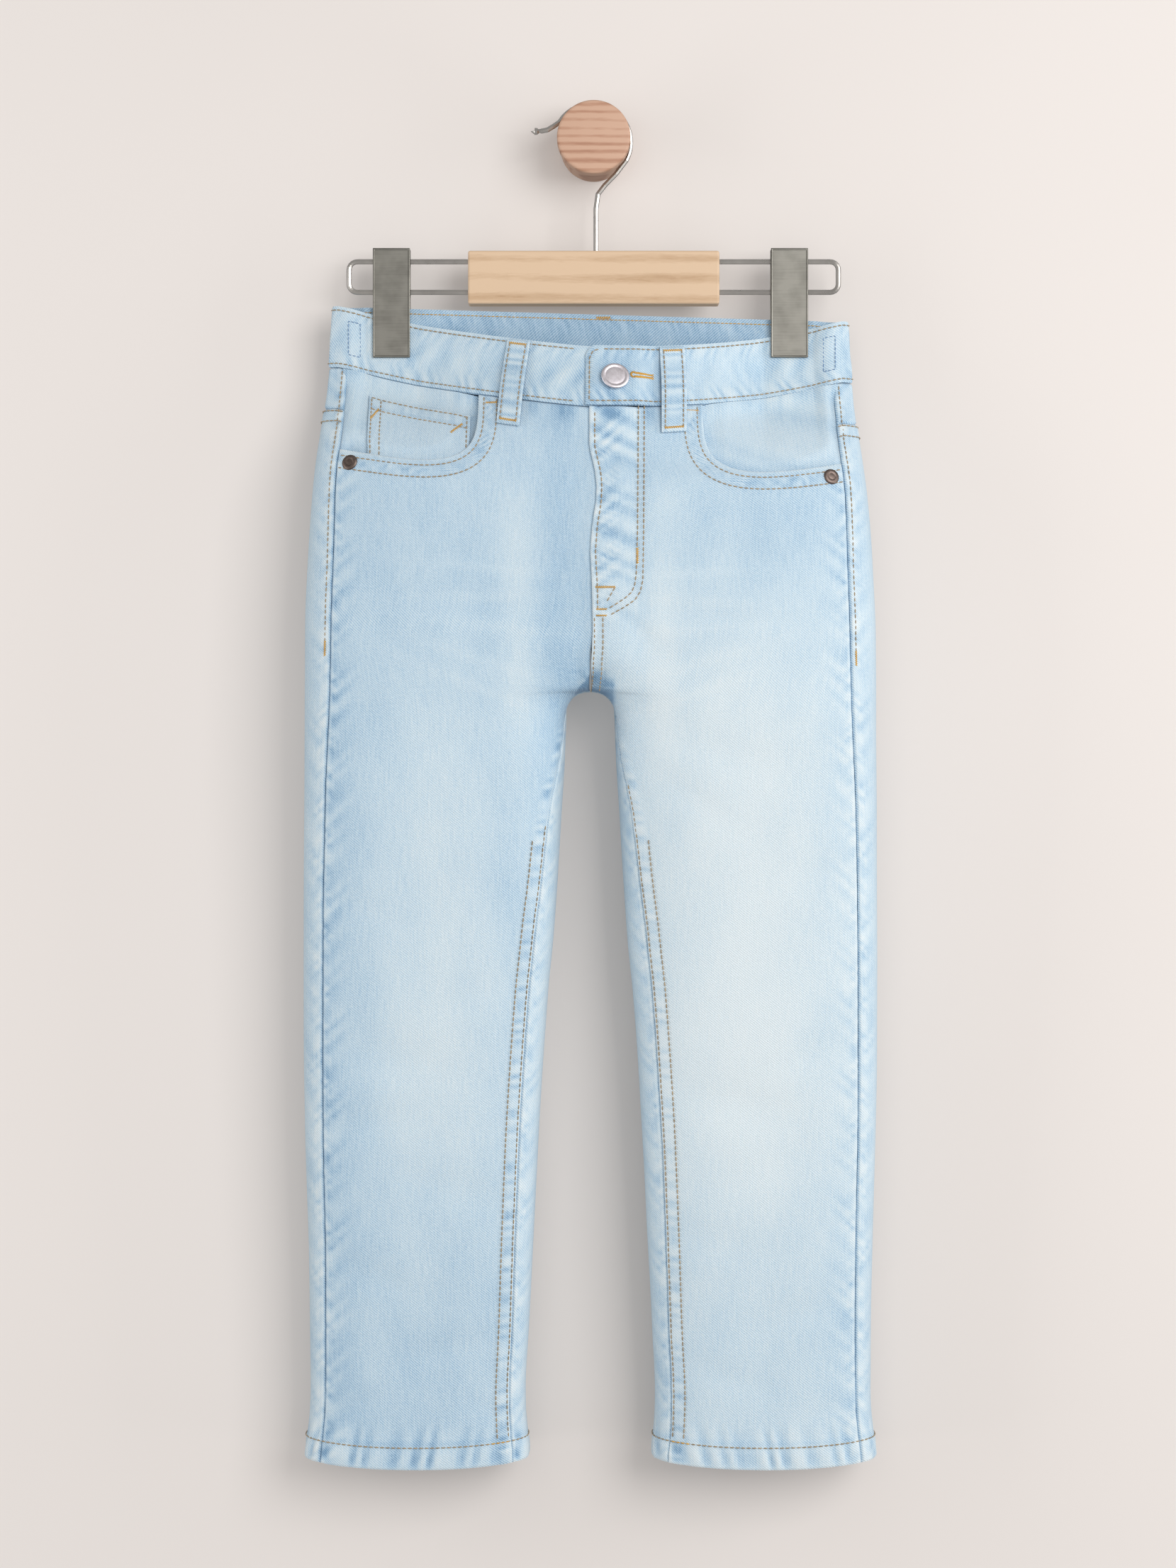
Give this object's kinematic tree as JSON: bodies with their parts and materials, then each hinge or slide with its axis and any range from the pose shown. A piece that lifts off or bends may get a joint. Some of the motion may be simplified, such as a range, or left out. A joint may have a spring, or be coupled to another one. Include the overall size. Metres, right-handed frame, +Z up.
{
  "type": "jeans on a clip hanger and wall peg",
  "caption": "Child's five-pocket jeans with straight legs, filled out and hung by the waist from a clip hanger on a round wooden wall peg.",
  "frame": {"origin": "centre of the peg's flat back face, on the wall", "axes": "+Y into the wall, +X to the viewer's right, +Z up along the jeans"},
  "size_m": [0.3486, 0.0823, 0.8313],
  "materials": {
    "denim": "pale ice-blue washed twill, matte",
    "zip_tape": "plain woven tape",
    "button_nickel": "matte antique nickel",
    "rivet_bronze": "dark bronze",
    "steel": "bright nickel plate",
    "beech": "satin beech",
    "pine": "satin stained pine"
  },
  "bodies": {
    "root": {"front_left": "denim", "front_right": "denim", "back_left": "denim", "back_right": "denim", "yoke_left": "denim", "yoke_right": "denim", "back_pocket_left": "denim", "back_pocket_right": "denim", "facing_left": "denim", "facing_right": "denim", "coin_pocket": "denim", "waistband": "denim", "belt_loop_front_left": "denim", "belt_loop_front_right": "denim", "belt_loop_side_left": "denim", "belt_loop_side_right": "denim", "belt_loop_centre": "denim", "zip": "zip_tape", "button": "button_nickel", "rivet_left": "rivet_bronze", "rivet_right": "rivet_bronze", "hanger_bar": "beech", "wall_peg": "pine", "hanger_hook": "steel", "hanger_wire_left": "steel", "hanger_wire_right": "steel", "clip_left_front": "steel", "clip_left_back": "steel", "clip_left_pivot": "steel", "clip_right_front": "steel", "clip_right_back": "steel", "clip_right_pivot": "steel"}
  },
  "joints": []
}
